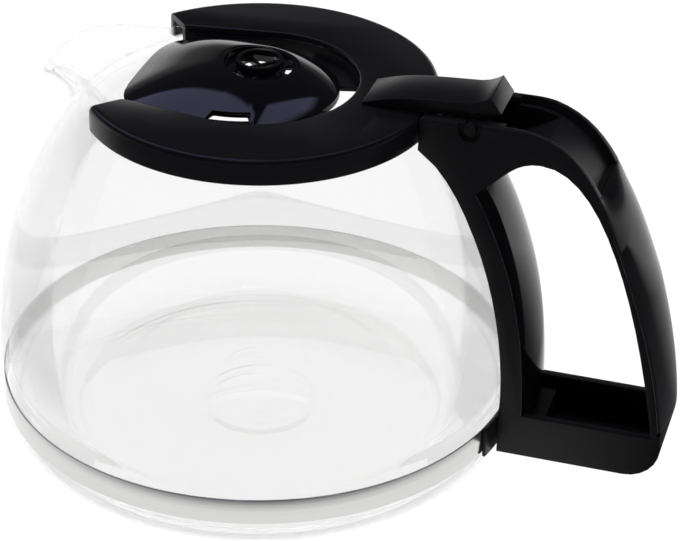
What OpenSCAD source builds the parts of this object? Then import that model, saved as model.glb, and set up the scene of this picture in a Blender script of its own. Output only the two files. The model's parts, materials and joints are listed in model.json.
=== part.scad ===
// Glass coffee server with a tip-up lid and a D-shaped handle.
// Origin: centre of the base on the plane it stands on. +Z up, +X towards the handle, spout at -X.

/* [Glass jug] */
// Widest outer radius of the glass
jug_r = 72.5; // [68:0.5:78]
// Height of the widest point
belly_z = 25; // [22:0.5:30]
// Thickness of the blown wall
jug_wall = 2.2; // [1.8:0.1:2.6]
// Thickness of the base
base_wall = 2.8; // [2.2:0.1:3.6]
// Outer radius of the neck
neck_r = 42.4; // [41:0.2:44]
// Height of the top of the rim
rim_z = 101.2; // [98:0.2:108]
// How far the lip stands out from the neck
spout_reach = 19.4; // [14:0.2:22]
// Angle from the middle of the spout to where it leaves the neck
spout_half_angle = 46; // [38:1:50]

/* [Steel band] */
// Height of the band
band_h = 7.4; // [5:0.1:10]
// Height of the band's lower edge
band_z = 9.9; // [9:0.1:12]
// Thickness of the band
band_t = 0.55; // [0.4:0.05:1]

/* [Lid] */
// Height of the outer skirt
skirt_h = 7.1; // [6:0.1:7.4]
// Thickness of the ring's top plate
plate_t = 2; // [1.6:0.1:2.4]
// Thickness of the outer skirt
skirt_wall = 2; // [1.4:0.1:2.4]
// Radius of the opening in the ring, on the handle's side
opening_r = 27.4; // [26.6:0.1:28]
// Angle from the middle of the spout to each end face of the ring
gap_half_angle = 46.5; // [44:0.5:47]
// Width of the drain gap behind the dome
drain_gap = 5.1; // [4.4:0.1:5.6]
// Height of the dome above its edge
dome_h = 6.4; // [5:0.1:7.4]
// Wall of the dome and the funnel
lid_wall = 1.6; // [1.2:0.1:2]
// Radius of the drip-through
drip_r = 10.4; // [9:0.1:11]

/* [Hinge] */
// Distance from the ring's skirt back to the pin
hinge_reach = 12.5; // [12:0.1:14]
// Depth of the pin's centre below the top of the ring
hinge_drop = 1.2; // [0.8:0.1:1.6]
// Radius of the hinge pin
pin_r = 1.75; // [1.5:0.05:2]
// Width of the thumb lever
lever_w = 14.4; // [12:0.2:15]

/* [Handle] */
// Width of the handle
handle_w = 25; // [22:0.5:28]
// How far the grip stands out from the widest point of the glass
handle_reach = 44.3; // [38:0.5:50]
// Height of the underside of the bottom bar
bar_z = 6.8; // [5:0.1:8]
// Height of the bottom bar
bar_h = 12.6; // [11:0.1:16]
// Depth of the spine behind the glass
spine_t = 5.3; // [4.4:0.1:6.4]
// Gap between the glass and the spine
spine_gap = 1; // [0.6:0.1:1.4]
// Crown of the glossy cover on the grip
grip_crown = 3.8; // [2:0.1:5]
// Crown of the glossy cover on the spine
spine_crown = 2.7; // [2:0.1:4.5]

/* [Hidden] */
$fn = 64;

// Clearances
fit_gap = 0.05;
run_gap = 0.06;
moving_gap = 0.5;
overrun = 2;

// Glass
corner_h = 8;
corner_inset = 1.3;
foot_inset = 10.5;
groove_inset = 1.1;
groove_margin = 0.4;
stand_ring_r = 47.5;
centre_disc_r = 15.5;
stand_recess = 0.6;
shoulder_out = 3.1;
shoulder_drop = 5;
shoulder_angle = 30;
neck_drop = 2.6;
bead_r = 1;
bead_out = 0.8;
bead_turn_angle = 70;
corner_pull = 8.3;
base_corner_rise = 2.2;
base_corner_in = 1.4;
groove_turn = 0.4;
belly_start = 0.2;
belly_low_pull = 4;
belly_high_pull = 2;
neck_low_pull = 1.8;
neck_mid_rise = 1.4;
belly_pull_share = 0.36;
shoulder_pull_share = 0.279;
shoulder_r = neck_r + shoulder_out;
shoulder_z = rim_z - shoulder_drop;
groove_r = jug_r - groove_inset;
band_r = groove_r + fit_gap;

// Spout
// The rim rises beside the channel and dips again at the tip
spout_rise = 4.9;
rise_power_share = 1.8;
spout_drop = 8.8;
drop_power_share = 17;
spout_power_share = 4;
spout_thin = 0.4;
rim_sink = 0.9;
foot_out = 2;
foot_rise_share = 0.5;
foot_in = 1.2;
foot_down = 1.5;
spout_foot_share = 0.5;
foot_lean_share = 0.1;
foot_pull_share = 0.55;
lip_pull_share = 0.75;
lip_rise_share = 0.32;
lip_lean = 0.2;
cap_share = 0.4;
spout_void_in = 12;
void_span_share = 0.914;
spout_void_r = neck_r - spout_void_in;
void_depth = 0.33;
void_back = 1.3;
void_gain_share = 5;
spout_steps_count = 32;

// Lid
rim_gap = 0.6;
skirt_clear = 3.3;
edge_r = 1.8;
lip_r = 0.9;
opening_x = 1;
side_tilt_angle = 8.5;
side_run = 36;
gap_x = 7.3;
ring_top = rim_z + rim_gap + plate_t;
ring_under = ring_top - plate_t;
ring_r = neck_r + skirt_clear + skirt_wall;
funnel_drop = 6.6;
funnel_z = ring_top - funnel_drop;
funnel_clear = 0.6;
flange_w = 2.2;
flange_t = 1.2;
floor_t = 1.4;
floor_top = funnel_z + floor_t;
dome_edge_rise = 2;
dome_edge_z = floor_top + dome_edge_rise;
dome_x = 7.4;
dome_side_gap = 2.8;
dome_front_gap = 6.3;
dome_front_power_share = 3.9;
dome_power_share = 2.6;
dome_rear = opening_r - opening_x - drain_gap;
dome_a = dome_rear + dome_x;
dome_front = neck_r - jug_wall - dome_front_gap - dome_x;
dome_b = opening_r - dome_side_gap;
seat_w = 3.2;
side_slot_mid_angle = 75.5;
side_slot_half_angle = 14.5;
rear_slot_half_angle = 15;
drip_wall = 0.9;
drip_rise = 0.5;
drip_depth = 3.6;
drip_floor = 1.2;
drip_ring_t = 1.2;
drip_ring_share = 0.61;
drip_slot_gap = 0.6;
drip_slot_half_angle = 16;
drip_slot_angles = [0, 122, -122];
rib_t = 1;
skirt_slot_share = 0.61;

// Hinge and lever
hinge_x = ring_r + hinge_reach;
hinge_z = ring_top - hinge_drop;
hub_r = 4.2;
lever_gap = 0.5;
cheek_in = lever_w / 2 + lever_gap;
lever_seat = ring_top + fit_gap;
lever_start_x = 30.3;
lever_rise = 4.6;
thumb_rise = 7.1;
thumb_back = 7.4;
lever_t = 3.2;
lever_lip = 0.6;
lever_front_pull = 8;
lever_front_rise = 3;
lever_rear_pull = 22;
lever_knee_back = 4;
lever_front_sag = 1;
lever_knee_lift = 0.05;
thumb_pull = 2;
thumb_top_pull = 1.6;
thumb_edge_x = 4.3;
thumb_under = 2.8;
thumb_under_back = 2.6;
thumb_under_low = 1.6;
lever_heel = 1.2;
lever_hole = 1.4;
lever_screw_bite = 1.2;
peg_x = 37;
peg_y = 4.4;
screw_r = 1;
screw_head_r = 1.9;
screw_head_t = 1.2;

// Screw heads
drive_share = 0.6;

// Neck collar
collar_clear = 0.6;
collar_t = 1.2;
collar_h = 1.5;
collar_drop = 3.2;
collar_z = rim_z - collar_drop;
collar_free_angle = 12;
collar_open = spout_half_angle + collar_free_angle;
lug_w = 11;
lug_back = 7.3;
lug_x = ring_r + lug_back;
lug_hole_back = 3.8;
lug_screw_x = lug_x - lug_hole_back;
lug_screw_r = 1.4;
lug_head_r = 2.5;
lug_head_t = 1.4;
lug_screw_len = 4.4;

// Foot clamp
saddle_t = 0.95;
saddle_half_angle = 15;
saddle_below = 1.3;
foot_gap = 0.3;
saddle_r = band_r + band_t + fit_gap;
foot_r = saddle_r + saddle_t + foot_gap;
tongue_t = 2;
tongue_w = 10;
tongue_len = 9;
tongue_rise = 4.4;
tongue_z = bar_z + tongue_rise;
tongue_x = saddle_r + tongue_len;
foot_screw_out = 0.9;
foot_screw_x = tongue_x - tongue_len / 2 + foot_screw_out;
foot_screw_r = 1.5;
foot_head_r = 3;
foot_head_t = 1.6;
foot_screw_len = 8.2;

// Handle outline
handle_rise = 1;
handle_top = ring_top + handle_rise;
bracket_gap = 0.5;
bracket_rise = 0.3;
bracket_low = 2;
bracket_r = ring_r + bracket_gap;
top_back = 10.8;
top_x = hinge_x + top_back;
grip_x = jug_r + handle_reach;
heel_r = 9.5;
heel_z = bar_z + heel_r;
knee_shares = [0.6375, 0.711];
knee_x = top_x + knee_shares[0] * (grip_x - top_x);
knee_z = heel_z + knee_shares[1] * (handle_top - heel_z);
knee_dir_shares = [0.38, -0.925];
top_pull_share = 0.4;
side_pull_share = 0.31;
heel_pull_share = 0.36;
heel_lean = 1.5;
bar_top = bar_z + bar_h;
grip_t = 2.6;
arch_back = 19.3;
arch_drop = 8.8;
arch_pull = 7;
arch_foot = [8.2, 6.6];
palm_top_pull = 17;
palm_foot_pull = [-6.5, 40.4];
spine_foot_in = 0.4;
spine_foot_pull = [0.2, 23];
spine_head_pull = [11.7, -20.3];
spine_head_t = 5.1;
spine_head_drop = 11.1;
spine_foot_x = groove_r + spine_gap + spine_t + spine_foot_in;
spine_head_z = shoulder_z - spine_head_drop;
cover_edge = 0.8;
spine_edge = 0.3;
spine_end_share = 0.7;
spine_end_run_share = 10;
cover_back = 33.4;
cover_x = hinge_x + cover_back;
crown_run_share = 0.16;
crown_hold_share = 0.45;
crown_end_share = 0.45;
crown_power_share = 0.5;
trough_wall = 2.2;
trough_floor = 2;
trough_end = 1;
foot_boss_back = 11;
foot_boss_drop = 3.6;
// The handle is narrower at the top, with rounded upper edges
cheek_narrow = 1.5;
narrow_low = 30;
narrow_mid = 15;
top_round = 1;
cheek_out = handle_w / 2 - cheek_narrow;
// Well under the lever and the open channel behind it
valley_floor = collar_z - fit_gap;
valley_deep = 1.5;
valley_start = 0.8;
valley_ramp = 1;
well_back = 9;
well_run = 9;
well_pull = 3.4;
well_end_pull = 4.5;
well_end_drop = 1.6;
channel_back = 9;
channel_deep = 2.2;
channel_rim = 1.4;
socket_w = 6.2;
socket_depth = 1.2;
socket_neck_share = 0.8;
pin_end = 0.5;

// Point on a cubic curve with n steps
function curve(a, b, c, d, n) = [for (i = [0:n]) let (t = i / n)
    (1 - t) ^ 3 * a + 3 * (1 - t) ^ 2 * t * b + 3 * (1 - t) * t ^ 2 * c + t ^ 3 * d];
function arc(x, z, r, from, to, n) = [for (i = [0:n]) let (a = from + (to - from) * i / n)
    [x + r * cos(a), z + r * sin(a)]];
function unit(v) = v / norm(v);
// Direction across a line of points, to its right
function across(pts, i) = let (a = pts[max(i - 1, 0)], b = pts[min(i + 1, len(pts) - 1)], d = unit(b - a))
    [d[1], -d[0]];
function moved(pts, gap) = [for (i = [0:len(pts) - 1]) pts[i] + gap * across(pts, i)];
function reversed(pts) = [for (i = [len(pts) - 1:-1:0]) pts[i]];
function mix(a, b, t) = a + (b - a) * t;

// Outside of the glass from the foot to the neck
wall_line = concat(
    curve([jug_r - foot_inset, 0], [jug_r - foot_inset + corner_pull, 0],
        [jug_r - corner_inset, corner_h / 2], [groove_r, corner_h], 5),
    [[groove_r, band_z + band_h + groove_margin]],
    curve([groove_r + groove_turn, band_z + band_h + 2 * groove_margin],
        [jug_r - belly_start, belly_z - belly_low_pull],
        [jug_r, belly_z - belly_high_pull], [jug_r, belly_z], 3));
shoulder_pull = shoulder_pull_share * (shoulder_z - belly_z);
body_line = curve([jug_r, belly_z], [jug_r, belly_z + belly_pull_share * (shoulder_z - belly_z)],
    [shoulder_r + shoulder_pull * cos(shoulder_angle), shoulder_z - shoulder_pull * sin(shoulder_angle)],
    [shoulder_r, shoulder_z], 14);
neck_line = curve([shoulder_r, shoulder_z],
    [shoulder_r - neck_low_pull * cos(shoulder_angle), shoulder_z + neck_low_pull * sin(shoulder_angle)],
    [neck_r, shoulder_z + neck_mid_rise], [neck_r, rim_z - neck_drop], 4);
// Rounded rim, proud of the neck outside and flush with it inside
rim_line = concat(arc(neck_r + bead_out - bead_r, rim_z - bead_r, bead_r, -bead_turn_angle, 90, 7),
    arc(neck_r - jug_wall + bead_r, rim_z - bead_r, bead_r, 90, 180, 5));
function skip(pts) = [for (i = [1:len(pts) - 1]) pts[i]];
outer_line = concat(wall_line, skip(body_line), skip(neck_line));
inner_line = moved(outer_line, -jug_wall);
function radius_at(z, i = 0) = i >= len(body_line) - 1 ? shoulder_r
    : z <= body_line[i + 1][1]
        ? mix(body_line[i][0], body_line[i + 1][0],
            (z - body_line[i][1]) / (body_line[i + 1][1] - body_line[i][1]))
        : radius_at(z, i + 1);
function height_at(r, i = 0) = i >= len(body_line) - 1 ? shoulder_z
    : r >= body_line[i + 1][0]
        ? mix(body_line[i][1], body_line[i + 1][1],
            (body_line[i][0] - r) / (body_line[i][0] - body_line[i + 1][0]))
        : height_at(r, i + 1);

// Triangles between two neighbouring loops of n points
function skin(loops, n) = [for (k = [0:loops - 2], j = [0:n - 1]) let (
    a = k * n + j, b = k * n + (j + 1) % n, c = a + n, d = b + n)
    for (f = [[a, b, c], [b, d, c]]) f];
function cap_start(n) = [for (j = [1:n - 2]) [0, j + 1, j]];
function cap_end(loops, n) = let (s = (loops - 1) * n) [for (j = [1:n - 2]) [s, s + j, s + j + 1]];

// Spout
function arch(phi) = cos(90 * phi / spout_half_angle);
function swell(phi) = arch(phi) ^ spout_power_share;
spout_t = jug_wall - spout_thin;
spout_end_r = neck_r - jug_wall / 2;
function rim_r(phi) = mix(spout_end_r, neck_r + spout_reach, swell(phi));
function rim_h(phi) = rim_z - rim_sink + spout_rise * arch(phi) ^ rise_power_share
    - spout_drop * arch(phi) ^ drop_power_share;
function foot_of_spout(phi) =
    let (r = mix(spout_end_r, neck_r + spout_foot_share * spout_reach + foot_out, swell(phi)))
    r > shoulder_r ? [r, height_at(r)] : [r, shoulder_z + (shoulder_r - r) * foot_rise_share];
function spout_line(phi) = let (a = foot_of_spout(phi) - [foot_in * swell(phi), foot_down],
    d = [rim_r(phi), rim_h(phi)], h = d[1] - a[1])
    curve(a, a + [foot_lean_share, foot_pull_share] * h,
        d - [lip_pull_share * max(d[0] - a[0], lip_lean), lip_rise_share * h], d, 6);
function spout_loop(phi) = let (s = spout_line(phi), o = moved(s, spout_t / 2), i = moved(s, -spout_t / 2),
    e = s[len(s) - 1], dir = unit(e - s[len(s) - 2]))
    concat(o, [e + dir * spout_t * cap_share], reversed(i));
function void_loop(phi) = let (depth = mix(-void_back, void_depth, min(1, void_gain_share * swell(phi))),
    s = moved(spout_line(phi), depth - spout_t / 2), e = s[len(s) - 1])
    concat(s, [[e[0] + void_depth, rim_z + overrun + spout_rise], [spout_void_r, rim_z + overrun + spout_rise],
        [spout_void_r, s[0][1]]]);
function stand(p, phi) = [-p[0] * cos(phi), p[0] * sin(phi), p[1]];

module spout_skin(loops) {
    n = len(loops[0]);
    faces = concat(skin(len(loops), n), cap_start(n), cap_end(len(loops), n));
    polyhedron([for (k = [0:len(loops) - 1]) for (p = loops[k]) p], [for (f = faces) reversed(f)], 4);
}

function spout_angle(k) = mix(-spout_half_angle, spout_half_angle, k / spout_steps_count);

module jug_body() {
    rotate_extrude($fn = 96)
        polygon(concat([[0, 0], [centre_disc_r, 0], [centre_disc_r, stand_recess],
            [stand_ring_r, stand_recess], [stand_ring_r, 0]], outer_line, rim_line,
            reversed([for (p = inner_line) if (p[1] > corner_h) p]),
            [[jug_r - corner_inset - jug_wall - base_corner_in, base_wall + base_corner_rise],
            [jug_r - foot_inset, base_wall], [0, base_wall]]));
}

module glass_jug() {
    color([0.86, 0.9, 0.9, 0.35]) {
        difference() {
            jug_body();
            spout_skin([for (k = [0:spout_steps_count]) let (a = spout_angle(k) * void_span_share)
                [for (p = void_loop(a)) stand(p, a)]]);
        }
        spout_skin([for (k = [0:spout_steps_count]) let (a = spout_angle(k))
            [for (p = spout_loop(a)) stand(p, a)]]);
    }
}

module steel_band() {
    color([0.8, 0.81, 0.82])
        translate([0, 0, band_z])
            rotate_extrude($fn = 96)
                translate([band_r, 0]) square([band_t, band_h]);
}

module wedge(r, half, h) {
    linear_extrude(h)
        polygon([[0, 0], [r * cos(half), -r * sin(half)], [r / cos(half / 2), 0],
            [r * cos(half), r * sin(half)]]);
}

module band_clamp() {
    color([0.12, 0.12, 0.13]) {
        intersection() {
            translate([0, 0, band_z - saddle_below])
                rotate_extrude($fn = 96)
                    translate([saddle_r, 0]) square([saddle_t, band_h + saddle_below]);
            wedge(jug_r + saddle_t * 3, saddle_half_angle, rim_z);
        }
        difference() {
            translate([saddle_r + saddle_t / 2, -tongue_w / 2, tongue_z])
                cube([tongue_len - saddle_t / 2, tongue_w, tongue_t]);
            translate([foot_screw_x, 0, tongue_z - overrun])
                cylinder(r = foot_screw_r + fit_gap, h = tongue_t + 2 * overrun);
        }
    }
}

module screw(r, len, head_r, head_t) {
    cylinder(r = r, h = len + head_t);
    difference() {
        cylinder(r = head_r, h = head_t);
        translate([0, 0, -overrun])
            for (a = [0, 90]) rotate(a)
                translate([-head_r * drive_share, -head_t / 4, 0])
                    cube([2 * head_r * drive_share, head_t / 2, overrun + head_t / 2]);
    }
}

module clamp_screw() {
    color([0.75, 0.75, 0.77])
        translate([foot_screw_x, 0, bar_z + fit_gap])
            screw(foot_screw_r, foot_screw_len, foot_head_r, foot_head_t);
}

module neck_collar() {
    color([0.1, 0.1, 0.11])
        difference() {
            union() {
                difference() {
                    translate([0, 0, collar_z])
                        rotate_extrude($fn = 96)
                            translate([neck_r + collar_clear, 0]) square([collar_t, collar_h]);
                    translate([0, 0, collar_z - overrun])
                        mirror([1, 0, 0])
                            wedge(jug_r, collar_open, collar_h + 2 * overrun);
                }
                translate([neck_r + collar_clear + collar_t / 2, -lug_w / 2, collar_z])
                    cube([lug_x - neck_r - collar_clear - collar_t / 2, lug_w, collar_h]);
            }
            translate([lug_screw_x, 0, collar_z - overrun])
                cylinder(r = lug_screw_r + fit_gap, h = collar_h + 2 * overrun);
        }
}

module collar_screw() {
    color([0.75, 0.75, 0.77])
        translate([lug_screw_x, 0, collar_z + collar_h + lug_head_t + fit_gap])
            mirror([0, 0, 1])
                screw(lug_screw_r, lug_screw_len, lug_head_r, lug_head_t);
}

// Side outline of the handle, from the top of the bracket round the grip to the foot
top_span = norm([knee_x - top_x, handle_top - knee_z]);
side_span = norm([grip_x - knee_x, knee_z - heel_z]);
knee = [knee_x, knee_z];
grip_line = concat(
    curve([top_x, handle_top], [top_x + top_pull_share * top_span, handle_top],
        knee - knee_dir_shares * top_pull_share * top_span, knee, 12),
    skip(curve(knee, knee + knee_dir_shares * side_pull_share * side_span,
        [grip_x - heel_lean, heel_z + heel_pull_share * side_span], [grip_x, heel_z], 16)));
spine_foot = [spine_foot_x, bar_top];
spine_head = [radius_at(spine_head_z) + spine_gap + spine_head_t, spine_head_z];
spine_line = curve(spine_foot, spine_foot + spine_foot_pull, spine_head + spine_head_pull, spine_head, 12);
arch_top = [hinge_x + arch_back, handle_top - arch_drop];
palm_foot = [grip_x - grip_t, bar_top];
palm_line = curve(arch_top, arch_top + [palm_top_pull, 0], palm_foot + palm_foot_pull, palm_foot, 14);
arch_line = curve(spine_head, spine_head + arch_foot, arch_top - [arch_pull, 0], arch_top, 8);
// Where the glossy cover sits in the grip
open_line = [for (p = grip_line) if (p[0] <= cover_x) p];
cover_line = [for (i = [0:len(grip_line) - 2]) if (grip_line[i][0] > cover_x) grip_line[i]];

module side(points, w) {
    translate([0, w / 2, 0]) rotate([90, 0, 0]) linear_extrude(w) polygon(points);
}

module handle_outline() {
    side(concat([[neck_r, ring_top + bracket_rise], [ring_r, ring_top + bracket_rise]], open_line,
        [cover_line[0]], moved(cover_line, cover_edge), [cover_line[len(cover_line) - 1]],
        arc(grip_x - heel_r, heel_z, heel_r, 0, -90, 6), [[neck_r, bar_z]]), handle_w);
}

// View from the end: full width below, narrower at the top, rounded upper edges
module end_outline() {
    half = [[handle_w / 2, handle_top - narrow_low], [handle_w / 2 - cheek_narrow / 2, handle_top - narrow_mid],
        [cheek_out, handle_top - 2 * top_round]];
    top = arc(cheek_out - top_round, handle_top - top_round, top_round, 0, 90, 3);
    line = concat([[handle_w / 2, bar_z - overrun]], half, top);
    rotate([90, 0, 90]) linear_extrude(grip_x + overrun)
        polygon(concat(line, reversed([for (p = line) [-p[0], p[1]]])));
}

// Everything in front of the handle: the glass, the foot clamp and the lid's skirt
module front_space() {
    rotate_extrude($fn = 96)
        polygon(concat([[0, -overrun], [foot_r, -overrun], [foot_r, band_z + band_h + groove_margin]],
            [for (p = moved(body_line, spine_gap)) if (p[1] < shoulder_z - bracket_low) p],
            [[bracket_r, shoulder_z - bracket_low / 2], [bracket_r, handle_top + overrun],
            [0, handle_top + overrun]]));
}

module valley() {
    well_x = hinge_x + well_back;
    well_z = valley_floor - valley_deep;
    channel_x = hinge_x + channel_back;
    floor_line = [for (p = moved(concat(open_line, [cover_line[0]]), channel_deep)) if (p[0] > channel_x) p];
    last = len(floor_line) - 1;
    turn = [for (p = floor_line) if (p[0] > well_x + well_run) p][0];
    side(concat([[neck_r, handle_top + overrun], [neck_r, valley_floor], [lug_x + valley_start, valley_floor],
        [lug_x + valley_start + valley_ramp, well_z]],
        curve([well_x, well_z], [well_x + well_pull, well_z], turn - [well_end_pull, well_end_drop], turn, 6),
        [[turn[0], handle_top + overrun]]), 2 * cheek_in);
    side(concat([[channel_x, handle_top + overrun], [channel_x, handle_top - channel_deep]], floor_line,
        [cover_line[0], [cover_line[0][0] + overrun, handle_top + overrun]]), 2 * (cheek_out - channel_rim));
}

module pin_sockets() {
    translate([hinge_x, handle_w / 2 + overrun, hinge_z])
        rotate([90, 0, 0]) cylinder(r = pin_r + run_gap, h = handle_w + 2 * overrun);
    translate([hinge_x - pin_r * socket_neck_share, -handle_w / 2 - overrun, hinge_z])
        cube([2 * pin_r * socket_neck_share, handle_w + 2 * overrun, handle_top]);
    for (s = [-1, 1])
        translate([hinge_x, s * (cheek_out - socket_depth / 2 + overrun / 2), hinge_z])
            rotate([90, 0, 0])
                linear_extrude(socket_depth + overrun, center = true) {
                    circle(socket_w / 2);
                    translate([-socket_w / 2, 0]) square([socket_w, handle_top]);
                }
}

module trough() {
    x0 = spine_foot_x + foot_boss_back - spine_t;
    x1 = grip_x - grip_t - trough_end;
    translate([x0, -handle_w / 2 + trough_wall, bar_z + trough_floor])
        cube([x1 - x0, handle_w - 2 * trough_wall, bar_h + overrun]);
    translate([spine_foot_x + cover_edge, -handle_w / 2 + trough_wall, bar_top - foot_boss_drop])
        cube([x1 - spine_foot_x - cover_edge, handle_w - 2 * trough_wall, foot_boss_drop + overrun]);
}

module foot_fixing() {
    translate([foot_r - overrun, -tongue_w / 2 - fit_gap, tongue_z - fit_gap])
        cube([tongue_x - foot_r + overrun + foot_gap, tongue_w + 2 * fit_gap, tongue_t + 2 * fit_gap]);
    translate([foot_screw_x, 0, bar_z - overrun]) {
        cylinder(r = foot_head_r + 2 * fit_gap, h = foot_head_t + 2 * fit_gap + overrun);
        cylinder(r = foot_screw_r + fit_gap, h = foot_head_t + foot_screw_len + 3 * fit_gap + overrun);
    }
}

module collar_fixing() {
    translate([lug_screw_x, 0, collar_z - lug_screw_len])
        cylinder(r = lug_screw_r + fit_gap, h = lug_screw_len + overrun);
}

module handle_frame() {
    color([0.11, 0.11, 0.12])
        difference() {
            intersection() {
                handle_outline();
                end_outline();
            }
            front_space();
            side(concat(spine_line, skip(arch_line), skip(palm_line)), handle_w + 2 * overrun);
            valley();
            pin_sockets();
            trough();
            foot_fixing();
            collar_fixing();
        }
}

// Crowned strip that seats along a line of the handle's side view
module crowned_strip(path, way, halves, edge, crowns, n = 12) {
    loops = [for (i = [0:len(path) - 1]) let (v = way * across(path, i)) concat(
        [[path[i][0], -halves[i], path[i][1]]],
        [for (j = [0:n]) let (u = 2 * j / n - 1, h = edge + crowns[i] * (1 - u * u))
            [path[i][0] + v[0] * h, halves[i] * u, path[i][1] + v[1] * h]],
        [[path[i][0], halves[i], path[i][1]]])];
    spout_skin(way > 0 ? loops : reversed(loops));
}

// Half width of the handle at a height, as in its end view
function half_at(z) = let (mid = handle_top - narrow_mid, low = handle_top - narrow_low,
    top = handle_top - 2 * top_round)
    z < low ? handle_w / 2
    : z < mid ? mix(handle_w / 2, handle_w / 2 - cheek_narrow / 2, (z - low) / (mid - low))
    : mix(handle_w / 2 - cheek_narrow / 2, cheek_out, (z - mid) / (top - mid));

grip_crowns = [for (i = [0:len(cover_line) - 1]) let (t = i / (len(cover_line) - 1))
    grip_crown * min(1, t / crown_run_share) ^ crown_power_share
        * mix(1, crown_end_share, max(0, (t - crown_hold_share) / (1 - crown_hold_share)))];

module grip_cover() {
    color([0.04, 0.04, 0.045])
        crowned_strip(moved(cover_line, cover_edge - fit_gap), -1, [for (p = cover_line) half_at(p[1])],
            cover_edge - fit_gap, grip_crowns);
}

spine_crowns = [for (i = [0:len(spine_line) - 1]) let (t = i / (len(spine_line) - 1))
    spine_crown * mix(spine_end_share, 1, min(1, spine_end_run_share * (1 - t)))];

module spine_cover() {
    color([0.04, 0.04, 0.045])
        crowned_strip(moved(spine_line, fit_gap), 1, [for (p = spine_line) half_at(p[1])], spine_edge, spine_crowns);
}

// Outline of the opening: round on the handle's side, straight towards the spout
function opening_line(r, n = 60) = let (t = 90 + side_tilt_angle, dir = [-sin(t), cos(t)], c = [-opening_x, 0],
    end = r * [cos(t), sin(t)] + side_run * dir)
    concat([c + [end[0], -end[1]]],
        [for (i = [0:n]) let (a = t * (2 * i / n - 1)) c + r * [cos(a), sin(a)]],
        [c + end]);
module opening_prism(r, low, high) {
    translate([0, 0, low]) linear_extrude(high - low) polygon(opening_line(r));
}

// Space of the opening, with the rounded lip at its upper edge
module opening_space() {
    lip = arc(opening_r + lip_r, ring_top - lip_r, lip_r, 180, 90, 4);
    levels = concat([[opening_r, ring_under - overrun]], lip, [[opening_r + lip_r, ring_top + overrun]]);
    spout_skin([for (v = levels) [for (p = opening_line(v[0])) [p[0], p[1], v[1]]]]);
}

module spout_gap() {
    translate([-gap_x, 0, funnel_z - overrun])
        mirror([1, 0, 0]) wedge(jug_r, gap_half_angle, funnel_drop + 2 * overrun);
}

module lid_ring() {
    color([0.13, 0.135, 0.14])
        difference() {
            rotate_extrude($fn = 96)
                polygon(concat([[0, ring_under], [0, ring_top]],
                    arc(ring_r - edge_r, ring_top - edge_r, edge_r, 90, 0, 6),
                    [[ring_r, ring_top - skirt_h], [ring_r - skirt_wall, ring_top - skirt_h],
                    [ring_r - skirt_wall, ring_under]]));
            opening_space();
            spout_gap();
            translate([neck_r - overrun, -cheek_in, ring_top - skirt_h - overrun])
                cube([ring_r, 2 * cheek_in, skirt_h - plate_t + overrun]);
            for (s = [-1, 1])
                translate([peg_x, s * peg_y, ring_under - overrun])
                    cylinder(r = screw_r + fit_gap, h = plate_t + 2 * overrun);
        }
}

// Sectors of the lid's floor where the drain slots are
module sector(from, to, half, h) {
    linear_extrude(h)
        polygon([[from * cos(half), -from * sin(half)], [to * cos(half), -to * sin(half)],
            [to * cos(half), to * sin(half)], [from * cos(half), from * sin(half)]]);
}

module slot_sectors(from, to, h) {
    sector(from, to, rear_slot_half_angle, h);
    for (s = [-1, 1]) rotate(s * side_slot_mid_angle) sector(from, to, side_slot_half_angle, h);
}

// Outline of the dome: an oval towards the handle, squarer towards the spout
function plan_r(a, front, b, t) = let (c = abs(cos(t)), s = abs(sin(t)),
    n = cos(t) < 0 ? dome_front_power_share : 2,
    h = cos(t) < 0 ? front : a) ((c / h) ^ n + (s / b) ^ n) ^ (-1 / n);
function plan(inset, n) = [for (j = [0:n - 1]) let (t = 360 * j / n,
    r = plan_r(dome_a - inset, dome_front - inset, dome_b - inset, t)) [r * cos(t), r * sin(t)]];

module lid_funnel() {
    wall_top = ring_under - fit_gap;
    flange_under = wall_top - flange_t;
    color([0.05, 0.05, 0.06]) {
        difference() {
            intersection() {
                union() {
                    opening_prism(opening_r + lid_wall, funnel_z, wall_top);
                    opening_prism(opening_r + lid_wall + flange_w, flange_under, wall_top);
                }
                translate([0, 0, funnel_z - overrun])
                    cylinder(r = neck_r - jug_wall - funnel_clear, h = funnel_drop + 2 * overrun, $fn = 96);
            }
            opening_prism(opening_r, floor_top, ring_top + overrun);
            translate([-dome_x, 0, funnel_z - overrun]) linear_extrude(funnel_drop) polygon(plan(seat_w, 72));
            spout_gap();
            intersection() {
                translate([-dome_x, 0, funnel_z - overrun])
                    slot_sectors(dome_b - seat_w, jug_r, floor_t + 2 * overrun);
                opening_prism(opening_r, funnel_z - overrun, floor_top + overrun);
            }
        }
        translate([-dome_x, 0, funnel_z]) linear_extrude(floor_t) difference() {
            polygon(plan(0, 72));
            polygon(plan(seat_w, 72));
        }
    }
}

// Cap over the outline: a short upright edge, then a flat-topped crown
function dome_rings(inset, h, base, k, n) = concat([[for (p = plan(inset, n)) [p[0], p[1], base]]],
    [for (i = [0:k - 1]) let (s = cos(90 * i / k))
        [for (p = plan(inset, n)) [p[0] * s, p[1] * s, h * (1 - s ^ dome_power_share)]]]);

module dome_solid(inset, h, base) {
    n = 72;
    k = 7;
    rings = dome_rings(inset, h, base, k, n);
    count = len(rings) * n;
    faces = concat(skin(len(rings), n), [for (j = [0:n - 1]) [(j + 1) % n, j, count + 1]],
        [for (j = [0:n - 1]) [count - n + j, count - n + (j + 1) % n, count]]);
    translate([-dome_x, 0, dome_edge_z])
        polyhedron(concat([for (r = rings) for (p = r) p], [[0, 0, h], [0, 0, base]]),
            [for (f = faces) reversed(f)], 4);
}

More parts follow.
